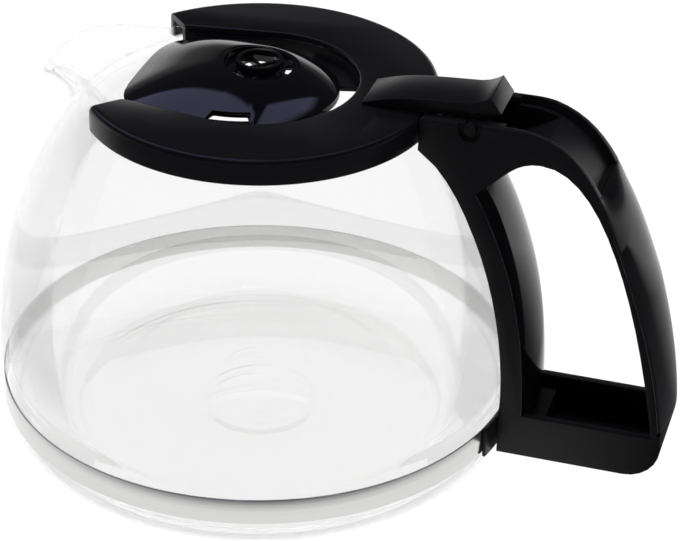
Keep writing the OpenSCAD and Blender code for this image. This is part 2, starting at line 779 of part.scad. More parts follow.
module dome() {
    skirt = dome_edge_z - floor_top - fit_gap;
    color([0.03, 0.03, 0.035])
        difference() {
            dome_solid(0, dome_h, -skirt);
            dome_solid(lid_wall, dome_h - lid_wall, -skirt - overrun);
            translate([0, 0, floor_top]) cylinder(r = drip_r + fit_gap, h = jug_r);
            translate([-dome_x, 0, floor_top - overrun])
                slot_sectors(dome_b - seat_w, jug_r, skirt * skirt_slot_share + overrun);
        }
}

// Dish whose edge is flush with the dome, with a ring and a cross of ribs inside
module drip_insert() {
    top = dome_edge_z + dome_h;
    dish = top - drip_depth;
    ring = drip_r * drip_ring_share;
    color([0.03, 0.03, 0.035]) {
        intersection() {
            difference() {
                translate([0, 0, dish]) cylinder(r = drip_r, h = drip_depth);
                translate([0, 0, dish + drip_floor]) cylinder(r = drip_r - drip_wall, h = drip_depth);
                for (a = drip_slot_angles) rotate(a) translate([0, 0, dish - overrun]) difference() {
                    intersection() {
                        wedge(jug_r, drip_slot_half_angle, drip_depth + overrun);
                        cylinder(r = drip_r - drip_wall - drip_slot_gap, h = drip_depth + overrun);
                    }
                    translate([0, 0, -overrun]) cylinder(r = ring + drip_slot_gap, h = jug_r);
                }
                translate([0, 0, dish - overrun]) cylinder(r = ring - drip_ring_t, h = drip_depth + overrun);
            }
            dome_solid(0, dome_h, floor_top - dome_edge_z);
        }
        difference() {
            translate([0, 0, dish]) cylinder(r = ring, h = drip_depth + drip_rise);
            translate([0, 0, dish - overrun]) cylinder(r = ring - drip_ring_t, h = drip_depth + 2 * overrun);
        }
        for (a = [45, -45]) rotate(a)
            translate([-ring + drip_ring_t / 2, -rib_t / 2, dish])
                cube([2 * ring - drip_ring_t, rib_t, drip_depth - drip_floor]);
    }
}

thumb_top = lever_seat + thumb_rise;
thumb_x = hinge_x + thumb_back;
lever_knee = [hinge_x - lever_knee_back, lever_seat + lever_rise];
lever_line = concat(
    curve([lever_start_x, lever_seat + lever_lip],
        [lever_start_x + lever_front_pull, lever_seat + lever_front_rise],
        [hinge_x - lever_rear_pull, lever_knee[1] - lever_front_sag], lever_knee, 7),
    skip(curve(lever_knee, lever_knee + [lever_knee_back, lever_knee_lift],
        [hinge_x + thumb_pull, thumb_top - thumb_top_pull],
        [hinge_x + thumb_edge_x, thumb_top], 4)));

module thumb_lever() {
    color([0.13, 0.135, 0.14])
        difference() {
            union() {
                side(concat([[lever_start_x, lever_seat]], lever_line,
                    [[thumb_x, lever_seat + thumb_under],
                    [thumb_x - thumb_under_back, lever_seat + thumb_under_low],
                    [ring_r - lever_heel, lever_seat]]), lever_w);
                translate([hinge_x, lever_w / 2, hinge_z]) rotate([90, 0, 0]) cylinder(r = hub_r, h = lever_w);
                translate([hinge_x - hub_r, -lever_w / 2, hinge_z]) cube([2 * hub_r, lever_w, lever_t]);
            }
            translate([hinge_x, handle_w / 2, hinge_z])
                rotate([90, 0, 0]) cylinder(r = pin_r + fit_gap / 2, h = handle_w);
            for (s = [-1, 1])
                translate([peg_x, s * peg_y, lever_seat - overrun])
                    cylinder(r = screw_r + fit_gap, h = overrun + lever_hole);
        }
}

module lever_screws() {
    color([0.75, 0.75, 0.77])
        for (s = [-1, 1])
            translate([peg_x, s * peg_y, ring_under - screw_head_t - fit_gap])
                screw(screw_r, plate_t + lever_screw_bite, screw_head_r, screw_head_t);
}

module hinge_pin() {
    half = cheek_out - pin_end;
    color([0.08, 0.08, 0.09])
        translate([hinge_x, half, hinge_z])
            rotate([90, 0, 0]) cylinder(r = pin_r, h = 2 * half);
}

glass_jug();
steel_band();
band_clamp();
clamp_screw();
neck_collar();
collar_screw();
handle_frame();
grip_cover();
spine_cover();
lid_ring();
lid_funnel();
dome();
drip_insert();
thumb_lever();
lever_screws();
hinge_pin();
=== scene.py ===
"""A glass coffee server with a tip-up lid, dressed for a product photograph.

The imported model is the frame. Every piece here sits in that frame, in metres: +Z up the jug's axis, +X
towards the handle, the spout at -X.
"""

from __future__ import annotations

import json
import logging
import math
from dataclasses import dataclass, field
from enum import Enum
from typing import Mapping, Sequence

import bmesh
import bpy
from mathutils import Matrix, Vector
from mathutils.geometry import interpolate_bezier

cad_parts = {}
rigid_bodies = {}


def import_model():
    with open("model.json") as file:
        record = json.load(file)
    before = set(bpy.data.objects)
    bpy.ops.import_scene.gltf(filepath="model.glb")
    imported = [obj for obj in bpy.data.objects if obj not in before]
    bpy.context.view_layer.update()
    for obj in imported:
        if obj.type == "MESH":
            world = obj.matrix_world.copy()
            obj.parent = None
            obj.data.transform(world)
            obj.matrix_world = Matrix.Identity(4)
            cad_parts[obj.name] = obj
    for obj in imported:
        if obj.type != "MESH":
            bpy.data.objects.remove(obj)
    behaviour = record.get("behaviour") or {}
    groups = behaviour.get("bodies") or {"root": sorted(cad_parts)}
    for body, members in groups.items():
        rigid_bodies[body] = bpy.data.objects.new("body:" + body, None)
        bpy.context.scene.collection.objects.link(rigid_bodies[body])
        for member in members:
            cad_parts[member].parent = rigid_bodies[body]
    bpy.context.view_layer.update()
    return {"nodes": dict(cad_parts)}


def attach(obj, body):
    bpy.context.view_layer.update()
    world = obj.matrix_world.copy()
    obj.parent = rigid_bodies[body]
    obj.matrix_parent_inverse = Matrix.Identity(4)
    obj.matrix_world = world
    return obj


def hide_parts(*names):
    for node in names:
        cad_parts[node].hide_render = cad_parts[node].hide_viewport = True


for leftover in list(bpy.data.objects):
    bpy.data.objects.remove(leftover)
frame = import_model()
LOG = logging.getLogger("server")

MM = 0.001
AHEAD_X, AHEAD_Y = -0.29, 0.957  # the camera's level heading


class Body(Enum):
    """The two bodies that the lid's hinge joins."""

    JUG = "jug"
    LID = "lid"


class Field:
    """A shader value that takes part in Python arithmetic."""

    def __init__(self, graph: Graph, socket: bpy.types.NodeSocket) -> None:
        """Keeps the socket that carries the value.

        Args:
            graph: The node graph that the socket belongs to.
            socket: An output socket of one of its nodes.
        """
        self.graph = graph
        self.socket = socket

    def maths(self, operation: str, first: Field | float, second: Field | float = 0.0) -> Field:
        """Adds one Math node.

        Args:
            operation: The Math node's operation.
            first: Its first value.
            second: Its second value.

        Returns:
            The node's result.
        """
        node = self.graph.node("ShaderNodeMath", {"operation": operation}, {0: first, 1: second})
        return Field(self.graph, node.outputs[0])

    def __add__(self, other: Field | float) -> Field:
        """The sum."""
        return self.maths("ADD", self, other)

    def __radd__(self, other: float) -> Field:
        """The sum, with the number first."""
        return self.maths("ADD", other, self)

    def __sub__(self, other: Field | float) -> Field:
        """The difference."""
        return self.maths("SUBTRACT", self, other)

    def __rsub__(self, other: float) -> Field:
        """The difference, with the number first."""
        return self.maths("SUBTRACT", other, self)

    def __mul__(self, other: Field | float) -> Field:
        """The product."""
        return self.maths("MULTIPLY", self, other)

    def __truediv__(self, other: Field | float) -> Field:
        """The quotient."""
        return self.maths("DIVIDE", self, other)

    def __pow__(self, other: Field | float) -> Field:
        """The power."""
        return self.maths("POWER", self, other)

    def clipped(self) -> Field:
        """The value kept between 0 and 1."""
        return self.maths("MINIMUM", self.maths("MAXIMUM", self, 0.0), 1.0)

    def band(self, low: float, high: float, low_blur: float, high_blur: float) -> Field:
        """A soft-edged band of the value.

        Args:
            low: Where the band starts.
            high: Where it ends.
            low_blur: The width of its lower edge.
            high_blur: The width of its upper edge.

        Returns:
            1 inside the band and 0 outside.
        """
        rise = ((self - low) * (1.0 / low_blur)).clipped()
        fall = ((high - self) * (1.0 / high_blur)).clipped()
        return rise * fall


class Graph:
    """The nodes of one material or world."""

    def __init__(self, tree: bpy.types.NodeTree) -> None:
        """Empties the tree.

        Args:
            tree: The node tree to fill.
        """
        self.tree = tree
        tree.nodes.clear()

    def node(self, kind: str, settings: Mapping[str, object] | None = None,
             sockets: Mapping[str | int, object] | None = None) -> bpy.types.Node:
        """Adds one node.

        Args:
            kind: The node's type name.
            settings: Its own settings, or the stops of its colour ramp.
            sockets: Values, fields or sockets for its inputs, by name or index.

        Returns:
            The node.
        """
        made = self.tree.nodes.new(kind)
        for name, value in (settings or {}).items():
            if name == "stops":
                self.set_stops(made.color_ramp, value)
            else:
                setattr(made, name, value)
        for name, value in (sockets or {}).items():
            self.feed(made.inputs[name], value)
        return made

    def feed(self, target: bpy.types.NodeSocket, value: object) -> None:
        """Sets or links one input.

        Args:
            target: The input socket.
            value: A number, a tuple, a field or an output socket.
        """
        if isinstance(value, Field):
            self.tree.links.new(value.socket, target)
        elif isinstance(value, bpy.types.NodeSocket):
            self.tree.links.new(value, target)
        else:
            target.default_value = value

    @staticmethod
    def set_stops(ramp: bpy.types.ColorRamp, stops: Sequence[tuple[float, float]]) -> None:
        """Gives a colour ramp its grey stops.

        Args:
            ramp: The ramp.
            stops: Pairs of place and grey level, from low to high.
        """
        while len(ramp.elements) > 1:
            ramp.elements.remove(ramp.elements[-1])
        ramp.elements[0].position = stops[0][0]
        ramp.elements[0].color = (*[stops[0][1]] * 3, 1.0)
        for place, level in stops[1:]:
            ramp.elements.new(place).color = (*[level] * 3, 1.0)

    def field(self, node: bpy.types.Node, output: str | int = 0) -> Field:
        """One output of a node as a value for arithmetic."""
        return Field(self, node.outputs[output])

    def noise(self, scale: float | tuple[float, float, float], detail: float = 2.0) -> Field:
        """A noise pattern on the object's own coordinates.

        Args:
            scale: Cycles per metre, the same on every axis or one for each.
            detail: Octaves of finer noise.

        Returns:
            The pattern, around 0.5.
        """
        spread = scale if isinstance(scale, tuple) else (scale, scale, scale)
        place = self.node("ShaderNodeTexCoord")
        mapped = self.node("ShaderNodeMapping", {}, {"Vector": place.outputs["Object"], "Scale": spread})
        return self.field(self.node("ShaderNodeTexNoise", {},
                                    {"Vector": mapped.outputs[0], "Scale": 1.0, "Detail": detail}))

    def bump(self, height: Field, depth: float, strength: float) -> bpy.types.NodeSocket:
        """A bump from a height pattern.

        Args:
            height: The pattern.
            depth: How far the pattern's full range stands out, in metres.
            strength: The share of it that shows.

        Returns:
            The bent normal.
        """
        node = self.node("ShaderNodeBump", {}, {"Height": height, "Distance": depth, "Strength": strength})
        return node.outputs[0]

    def mixed(self, low: Sequence[float], high: Sequence[float], share: Field) -> bpy.types.NodeSocket:
        """A colour between two others.

        Args:
            low: The colour where share is 0.
            high: The colour where share is 1.
            share: The pattern that mixes them.

        Returns:
            The mixed colour.
        """
        node = self.node("ShaderNodeMix", {"data_type": "RGBA"},
                         {0: share, 6: (*low, 1.0), 7: (*high, 1.0)})
        return node.outputs[2]


@dataclass(frozen=True)
class Finish:
    """A surface finish that makes its own material."""

    name: str
    slot: str

    def surface(self, graph: Graph) -> bpy.types.Node:
        """The finish's shader node.

        Args:
            graph: The graph to build it in.

        Returns:
            The shader.
        """
        raise NotImplementedError

    def material(self) -> bpy.types.Material:
        """The finish's material, made once."""
        made = bpy.data.materials.get(self.name)
        if made is None:
            made = bpy.data.materials.new(self.name)
            made.use_nodes = True
            graph = Graph(made.node_tree)
            shader = self.surface(graph)
            graph.node("ShaderNodeOutputMaterial", {}, {"Surface": shader.outputs[0]})
        return made


@dataclass(frozen=True)
class MouldedPlastic(Finish):
    """Black moulded plastic, from matte to high gloss."""

    colour: tuple[float, float, float]
    sheen_colour: tuple[float, float, float]
    roughness: float
    roughness_spread: float
    specular: float
    grain_pitch: float
    grain_depth: float

    def surface(self, graph: Graph) -> bpy.types.Node:
        """The plastic's shader, with its moulded grain.

        Args:
            graph: The graph to build it in.

        Returns:
            The shader.
        """
        grain = graph.noise(1.0 / self.grain_pitch, 3.0)
        flow = graph.noise(60.0, 2.0)
        return graph.node("ShaderNodeBsdfPrincipled", {}, {
            "Base Color": graph.mixed(self.colour, self.sheen_colour, flow),
            "Roughness": self.roughness + (flow - 0.5) * self.roughness_spread,
            "IOR": 1.5,
            "Specular IOR Level": self.specular,
            "Normal": graph.bump(grain, self.grain_depth, 1.0),
        })


@dataclass(frozen=True)
class BlownGlass(Finish):
    """Clear blown glass with the slight waves of hand cooling, and painted shade lines over the moulded rings
    under its base.
    """

    tint: tuple[float, float, float]
    # The colour of the painted shade lines on the base rings.
    ring_shade_colour: tuple[float, float, float]
    refraction: float
    wave_pitch: float
    wave_depth: float
    body_share: float
    ring_spans: tuple[tuple[float, float], ...] = ((50.6 * MM, 51.7 * MM), (14.6 * MM, 15.7 * MM))
    ring_blur: float = 0.4 * MM
    # The painted shade's share on the rings; the stroke is painted shade that is darkest on the side away
    # from the camera.
    ring_shade_share: float = 0.24
    shade_stroke_side: tuple[float, float] = (-0.74, 0.67)
    shade_stroke_start: float = 0.88
    base_top: float = 3.2 * MM

    def painted_ring_shade(self, graph: Graph) -> Field:
        """Painted shade over the moulded rings under the base, standing for the dark lines that their
        refraction shows; darkest away from the camera on the left.

        Args:
            graph: The graph to build them in.

        Returns:
            1 in the rings and 0 elsewhere.
        """
        place = graph.node("ShaderNodeTexCoord")
        split = graph.node("ShaderNodeSeparateXYZ", {}, {0: place.outputs["Object"]})
        across, along, height = (graph.field(split, axis) for axis in "XYZ")
        radius = (across * across + along * along) ** 0.5
        wide, small = [radius.band(start, end, self.ring_blur, self.ring_blur)
                       for start, end in self.ring_spans]
        side_x, side_y = self.shade_stroke_side
        far_left = (along * side_y + across * side_x) / radius
        shade_stroke = far_left.band(self.shade_stroke_start, 2.0, 0.06, 1.0)
        low = height.band(-1.0 * MM, self.base_top, 0.5 * MM, 0.3 * MM)
        # The rings darken with painted shade, fully in the stroke on the side away from the camera.
        return (wide + small) * (self.ring_shade_share + shade_stroke * (1.0 - self.ring_shade_share)) * low

    def surface(self, graph: Graph) -> bpy.types.Node:
        """The glass shader.

        Args:
            graph: The graph to build it in.

        Returns:
            The shader.
        """
        waves = graph.noise((1.0 / self.wave_pitch, 1.0 / self.wave_pitch, 0.4 / self.wave_pitch), 1.0)
        # The waves vary the glass colour a little at random; the ring mask paints shade lines into it.
        waves_and_ring_shade = (waves * 0.01 + self.painted_ring_shade(graph)).clipped()
        return graph.node("ShaderNodeBsdfPrincipled", {}, {
            "Base Color": graph.mixed(self.tint, self.ring_shade_colour, waves_and_ring_shade),
            "Roughness": 0.0,
            "IOR": self.refraction,
            "Transmission Weight": 1.0,
            "Alpha": self.body_share,
            "Normal": graph.bump(waves, self.wave_depth, 1.0),
        })


@dataclass(frozen=True)
class BrushedSteel(Finish):
    """Polished steel strip with fine lines round it."""

    colour: tuple[float, float, float]
    worn_colour: tuple[float, float, float]
    roughness: float
    line_pitch: float

    def surface(self, graph: Graph) -> bpy.types.Node:
        """The steel's shader.

        Args:
            graph: The graph to build it in.

        Returns:
            The shader.
        """
        lines = graph.noise((12.0, 12.0, 1.0 / self.line_pitch), 3.0)
        return graph.node("ShaderNodeBsdfPrincipled", {}, {
            "Base Color": graph.mixed(self.colour, self.worn_colour, lines),
            "Metallic": 1.0,
            "Roughness": self.roughness + (lines - 0.5) * 0.12,
            "Normal": graph.bump(lines, 0.00002, 0.4),
        })


MATTE = MouldedPlastic("matte_black", "black_matte", (0.005, 0.005, 0.006), (0.007, 0.007, 0.008),
                       0.36, 0.06, 0.16, 0.0006, 0.00002)
SATIN = MouldedPlastic("satin_black", "black_satin", (0.003, 0.003, 0.004), (0.005, 0.005, 0.006),
                       0.26, 0.05, 0.30, 0.0005, 0.00001)
GLOSS = MouldedPlastic("gloss_black", "black_gloss", (0.002, 0.002, 0.003), (0.003, 0.003, 0.004),
                       0.06, 0.02, 0.50, 0.004, 0.000002)
# The glass's second colour is the painted shade of the base rings.
GLASS = BlownGlass("blown_glass", "clear_glass", (0.82, 0.822, 0.815), (0.05, 0.05, 0.05), 1.18, 0.030,
                   0.000004, 0.32)
BAND_STEEL = BrushedSteel("band_steel", "polished_steel", (0.69, 0.69, 0.68), (0.64, 0.64, 0.63),
                          0.16, 0.0004)
SCREW_STEEL = BrushedSteel("turned_steel", "screw_steel", (0.66, 0.66, 0.66), (0.58, 0.58, 0.58),
                           0.28, 0.0003)


class TurnedProfile:
    """A half profile in radius and height, spun about an upright axis."""

    def __init__(self, start: tuple[float, float]) -> None:
        """Starts the profile.

        Args:
            start: Radius and height of its first point.
        """
        self.points = [Vector(start)]

    def line(self, *ends: tuple[float, float]) -> TurnedProfile:
        """Adds straight runs.

        Args:
            ends: The radius and height that each run ends at.

        Returns:
            The profile.
        """
        self.points.extend(Vector(end) for end in ends)
        return self

    def curve(self, first: tuple[float, float], second: tuple[float, float], end: tuple[float, float],
              steps: int) -> TurnedProfile:
        """Adds one cubic curve.

        Args:
            first: The handle that the curve leaves towards.
            second: The handle that it arrives from.
            end: Where it ends.
            steps: How many points it adds.

        Returns:
            The profile.
        """
        last = self.points[-1]
        made = interpolate_bezier(last.to_3d(), Vector(first).to_3d(), Vector(second).to_3d(),
                                  Vector(end).to_3d(), steps + 1)
        self.points.extend(point.to_2d() for point in made[1:])
        return self

    def spun(self, steps: int) -> bmesh.types.BMesh:
        """Spins the profile a full turn.

        Args:
            steps: Steps round the turn.

        Returns:
            The turned shape.
        """
        shape = bmesh.new()
        verts = [shape.verts.new((point.x, 0.0, point.y)) for point in self.points]
        edges = [shape.edges.new(pair) for pair in zip(verts, verts[1:])]
        bmesh.ops.spin(shape, geom=verts + edges, cent=(0, 0, 0), axis=(0, 0, 1), dvec=(0, 0, 0),
                       angle=math.tau, steps=steps, use_merge=True, use_duplicate=False)
        bmesh.ops.remove_doubles(shape, verts=shape.verts, dist=1e-6)
        bmesh.ops.recalc_face_normals(shape, faces=shape.faces)
        return shape


def finished(shape: bmesh.types.BMesh, name: str, body: Body, finish: Finish,
             replaces: Sequence[str] = (), crease_deg: float = 35.0) -> bpy.types.Object:
    """Makes a piece from a shape, dresses it and lets it ride on its body.

    Args:
        shape: The shape, in the row frame. It is freed.
        name: The piece's name.
        body: The body that it moves with.
        finish: Its finish.
        replaces: CAD nodes that it stands for.
        crease_deg: Edges sharper than this stay sharp in the shading.

    Returns:
        The piece.
    """
    mesh = bpy.data.meshes.new(name)
    shape.to_mesh(mesh)
    shape.free()
    for polygon in mesh.polygons:
        polygon.use_smooth = True
    mesh.set_sharp_from_angle(angle=math.radians(crease_deg))
    piece = bpy.data.objects.new(name, mesh)
    bpy.context.scene.collection.objects.link(piece)
    mesh.materials.append(finish.material())
    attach(piece, body.value)
    if replaces:
        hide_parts(*replaces)
    LOG.info("%s: %d faces", name, len(mesh.polygons))
    return piece


def lofted(loops: Sequence[Sequence[Vector]], closed: bool) -> bmesh.types.BMesh:
    """Bridges closed loops of points one after the other.

    Args:
        loops: The loops, each with the same number of points.
        closed: Whether the last loop is joined to the first. If not, both ends are filled.

    Returns:
        The shape.
    """
    shape = bmesh.new()
    rings = []
    for loop in loops:
        verts = [shape.verts.new(point) for point in loop]
        rings.append([shape.edges.new(pair) for pair in zip(verts, [*verts[1:], verts[0]])])
    followers = [*rings[1:], rings[0]] if closed else rings[1:]
    for ring, follower in zip(rings, followers):
        bmesh.ops.bridge_loops(shape, edges=ring + follower)
    if not closed:
        bmesh.ops.holes_fill(shape, edges=rings[0] + rings[-1])
    bmesh.ops.recalc_face_normals(shape, faces=shape.faces)
    return shape


def rounded(shape: bmesh.types.BMesh, width: float, segments: int = 3,
            sharp_deg: float = 40.0) -> bmesh.types.BMesh:
    """Rounds the sharp edges of a shape.

    Args:
        shape: The shape, changed in place.
        width: The width of the rounding.
        segments: Steps round each rounding.
        sharp_deg: Edges sharper than this are rounded.

    Returns:
        The same shape.
    """
    sharp = [edge for edge in shape.edges
             if edge.is_manifold and edge.calc_face_angle(0.0) > math.radians(sharp_deg)]
    bmesh.ops.bevel(shape, geom=sharp, offset=width, offset_type="OFFSET", affect="EDGES",
                    segments=segments, profile=0.5, material=-1, clamp_overlap=True)
    return shape


def softened(node: str, width: float, segments: int = 3, sharp_deg: float = 28.0) -> bmesh.types.BMesh:
    """A copy of a CAD node's mesh, merged, with its sharp edges rounded.

    Args:
        node: The node to copy.
        width: The width of the rounding.
        segments: Steps round each rounding.
        sharp_deg: Edges sharper than this are rounded.

    Returns:
        The copy.
    """
    shape = bmesh.new()
    shape.from_mesh(frame["nodes"][node].data)
    bmesh.ops.remove_doubles(shape, verts=shape.verts, dist=2e-6)
    bmesh.ops.dissolve_limit(shape, angle_limit=math.radians(0.6), verts=shape.verts, edges=shape.edges)
    return rounded(shape, width, segments, sharp_deg)


@dataclass
class GlassJug:
    """The blown jug: base, belly, shoulder, neck, rolled rim and pulled lip."""

    widest_r: float = 72.5 * MM
    widest_z: float = 25.0 * MM
    wall: float = 2.2 * MM
    base_wall: float = 2.8 * MM
    groove_r: float = 71.4 * MM
    shoulder_r: float = 45.5 * MM
    shoulder_z: float = 96.2 * MM
    neck_r: float = 42.4 * MM
    rim_z: float = 101.2 * MM
    spout_reach: float = 19.4 * MM
    spout_half_deg: float = 46.0
    spout_rise: float = 4.9 * MM
    spout_drop: float = 8.8 * MM
    spout_steps: int = 200
    base_steps: tuple[tuple[float, float], ...] = (
        (13.6, 0.0), (14.8, 0.05), (16.0, 0.15), (17.2, 0.2),
        (49.4, 0.2), (50.6, 0.15), (51.8, 0.05), (53.0, 0.0), (62.0, 0.0))

    def outside(self) -> TurnedProfile:
        """The outside of the glass from the centre of the base to the neck."""
        profile = TurnedProfile((0.0, 0.0))
        for radius, height in self.base_steps:
            profile.line((radius * MM, height * MM))
        profile.curve((68.5 * MM, 0.0), (71.2 * MM, 3.5 * MM), (self.groove_r, 8.2 * MM), 10)
        profile.line((self.groove_r, 17.4 * MM))
        profile.curve((71.6 * MM, 18.4 * MM), (self.widest_r, 21.5 * MM), (self.widest_r, self.widest_z), 5)
        profile.curve((self.widest_r, 50.65 * MM), (62.69 * MM, 86.28 * MM),
                      (self.shoulder_r, self.shoulder_z), 30)
        profile.curve((43.94 * MM, 97.1 * MM), (self.neck_r, 97.4 * MM), (self.neck_r, 98.6 * MM), 5)
        return profile

    def profile(self) -> TurnedProfile:
        """The whole closed profile, with the inner wall set in by the glass's thickness."""
        profile = self.outside()
        outer = list(profile.points)
        profile.line((42.5 * MM, 99.2 * MM))
        profile.curve((43.1 * MM, 99.5 * MM), (43.35 * MM, 100.2 * MM), (42.9 * MM, 100.8 * MM), 4)
        profile.curve((42.4 * MM, 101.35 * MM), (40.7 * MM, 101.4 * MM), (40.3 * MM, 100.4 * MM), 5)
        for before, here, after in zip(outer[-2:8:-1], outer[-1:9:-1], [outer[-1], *outer[-1:9:-1]]):
            along = (after - before).normalized()
            inner = here + Vector((-along.y, along.x)) * self.wall
            if inner.y > 6.0 * MM:
                profile.line((inner.x, inner.y))
        profile.curve((67.6 * MM, 3.6 * MM), (65.5 * MM, self.base_wall), (62.0 * MM, self.base_wall), 6)
        profile.line((0.0, self.base_wall))
        return profile

    def pull_spout(self, shape: bmesh.types.BMesh) -> None:
        """Pulls the lip out of the neck.

        Args:
            shape: The spun jug.
        """
        half = math.radians(self.spout_half_deg)
        for vert in shape.verts:
            angle = math.atan2(vert.co.y, -vert.co.x)
            if abs(angle) < half and vert.co.z > 80.0 * MM:
                self.move_to_spout(vert, angle, math.cos(0.5 * math.pi * angle / half))

    def move_to_spout(self, vert: bmesh.types.BMVert, angle: float, rise: float) -> None:
        """Moves one point of the neck to its place on the lip.

        Args:
            vert: The point.
            angle: Its angle from the middle of the spout.
            rise: 1 in the middle of the spout and 0 at its ends.
        """
        swell = rise ** 4
        foot_r = self.neck_r + swell * (0.5 * self.spout_reach + 2.0 * MM)
        foot_z = self.height_at(foot_r)
        if vert.co.z <= foot_z:
            return
        radius = math.hypot(vert.co.x, vert.co.y)
        rest_r = self.radius_at(vert.co.z)
        share = (vert.co.z - foot_z) / (self.rim_z - foot_z)
        lift = self.spout_rise * rise ** 1.8 - self.spout_drop * rise ** 17
        top = Vector((self.neck_r + swell * self.spout_reach, 0.0, self.rim_z + lift))
        foot = Vector((foot_r, 0.0, foot_z))
        height = top.z - foot.z
        reach = top.x - foot.x
        line = interpolate_bezier(foot, foot + Vector((0.1 * height - 0.2 * reach, 0.0, 0.55 * height)),
                                  top - Vector((0.75 * reach, 0.0, 0.32 * height)), top, self.spout_steps + 1)
        step = min(max(share, 0.0), 1.0) * self.spout_steps
        index = min(int(step), self.spout_steps - 1)
        upward = (line[index + 1] - line[index]).normalized()
        outward = Vector((upward.z, 0.0, -upward.x))
        place = line[index].lerp(line[index + 1], step - index)
        place += outward * (radius - rest_r) + upward * (max(share - 1.0, 0.0) * (self.rim_z - foot_z))
        vert.co = Vector((-place.x * math.cos(angle), place.x * math.sin(angle), place.z))

    def outline(self) -> list[Vector]:
        """The shoulder and neck of the outside, from the belly up, made once."""
        if not hasattr(self, "_outline"):
            self._outline = [point for point in self.outside().points if point.y > 60.0 * MM]
        return self._outline

    def radius_at(self, height: float) -> float:
        """The outside radius at a height.

        Args:
            height: The height.

        Returns:
            The radius.
        """
        for low, high in zip(self.outline(), self.outline()[1:]):
            if low.y <= height <= high.y:
                return low.x + (high.x - low.x) * (height - low.y) / (high.y - low.y)
        return self.neck_r

    def height_at(self, radius: float) -> float:
        """The height of the shoulder at a radius.

        Args:
            radius: The radius.

        Returns:
            The height.
        """
        for low, high in zip(self.outline(), self.outline()[1:]):
            if high.x <= radius <= low.x and low.x > high.x:
                return low.y + (high.y - low.y) * (low.x - radius) / (low.x - high.x)
        return 98.0 * MM

    def build(self) -> None:
        """Makes the jug."""
        shape = self.profile().spun(192)
        self.pull_spout(shape)
        bmesh.ops.recalc_face_normals(shape, faces=shape.faces)
        finished(shape, "glass", Body.JUG, GLASS, ["glass_jug"], 60.0)


@dataclass
class SteelBand:
    """The polished strip round the foot, its edges rolled."""

    inner_r: float = 71.45 * MM
    outer_r: float = 72.0 * MM
    low_z: float = 9.9 * MM
    high_z: float = 17.3 * MM
    roll: float = 0.16 * MM

    def build(self) -> None:
        """Makes the band."""
        profile = TurnedProfile((self.inner_r, self.low_z))
        profile.line((self.outer_r, self.low_z), (self.outer_r, self.high_z), (self.inner_r, self.high_z),
                     (self.inner_r, self.low_z))
        shape = profile.spun(192)
        corners = [edge for edge in shape.edges if edge.calc_face_angle(0.0) > 1.0]
        bmesh.ops.bevel(shape, geom=corners, offset=self.roll, affect="EDGES", segments=3, profile=0.5,
                        material=-1)
        finished(shape, "band", Body.JUG, BAND_STEEL, ["steel_band"])


@dataclass
class DomeCap:
    """The glossy cap of the lid.

    Its outline is an oval towards the handle and squarer towards the spout. Its crown is highest over the
    round hole, and its edge is notched over the near drain slot.
    """

    centre_x: float = -7.4 * MM
    rear: float = 28.7 * MM
    front: float = 26.5 * MM
    half_width: float = 24.6 * MM
    front_power: float = 3.9
    crown_power: float = 2.0
    base_z: float = 100.42 * MM
    edge_z: float = 100.6 * MM
    height: float = 8.5 * MM
    notch_deg: tuple[float, float] = (75.5, 14.5)
    notch_reach: float = 0.855
    wall: float = 1.6 * MM
    hole_r: float = 10.45 * MM
    steps_round: int = 160
    steps_out: int = 26

    def share(self, x: float, y: float, inset: float) -> float:
        """How far out a point lies.

        Args:
            x: Its place along the spout.
            y: Its place across.
            inset: How much the outline is set in.

        Returns:
            0 at the centre and 1 on the outline.
        """
        along = x - self.centre_x
        reach = self.front if along < 0.0 else self.rear
        power = self.front_power if along < 0.0 else 2.0
        sides = abs(along) / (reach - inset), abs(y) / (self.half_width - inset)
        return (sides[0] ** power + sides[1] ** power) ** (1.0 / power)

    def edge_distance(self, angle: float, inset: float) -> float:
        """Distance from the hole's centre to the outline.

        Args:
            angle: The direction.
            inset: How much the outline is set in.

        Returns:
            The distance.
        """
        low, high = 0.0, 60.0 * MM
        for _ in range(40):
            middle = 0.5 * (low + high)
            if self.share(middle * math.cos(angle), middle * math.sin(angle), inset) < 1.0:
                low = middle
            else:
                high = middle
        return low

    def ring(self, out: float, inset: float, height: float | None = None) -> list[Vector]:
        """One loop of points round the hole.

        Args:
            out: 0 at the hole and 1 at the outline.
            inset: How much the surface is set in.
            height: A fixed height, or none for the height of the crown.

        Returns:
            The loop.
        """
        loop = []
        for step in range(self.steps_round):
            angle = math.tau * step / self.steps_round
            edge = self.edge_distance(angle, inset)
            limit = edge * self.edge_share(edge * math.cos(angle), edge * math.sin(angle))
            reach = self.hole_r + (limit - self.hole_r) * out
            crown = self.edge_z + (self.height - inset) * (1.0 - (reach / edge) ** self.crown_power)
            low = max(height, crown - self.wall) if height is not None else crown
            loop.append(Vector((reach * math.cos(angle), reach * math.sin(angle), low)))
        return loop

    def edge_share(self, x: float, y: float) -> float:
        """How far the cap reaches towards a point of its outline: less over the near slot.

        Args:
            x: The point's place along the spout.
            y: Its place across.

        Returns:
            1, or less where the cap is notched.
        """
        middle, half = self.notch_deg
        turn = math.degrees(math.atan2(-y, x - self.centre_x))
        return self.notch_reach if abs(turn - middle) < half else 1.0

    def build(self) -> None:
        """Makes the cap."""
        outs = [math.sin(0.5 * math.pi * step / self.steps_out) for step in range(self.steps_out + 1)]
        outer = [self.ring(out, 0.0) for out in outs]
        inner = [self.ring(out, self.wall) for out in reversed(outs)]
        skirt = [self.ring(1.0, 0.0, self.base_z), self.ring(1.0, self.wall, self.base_z)]
        shape = rounded(lofted([*outer, *skirt, *inner], True), 0.3 * MM, 3, 25.0)
        finished(shape, "dome_cap", Body.LID, GLOSS, ["dome"], 50.0)


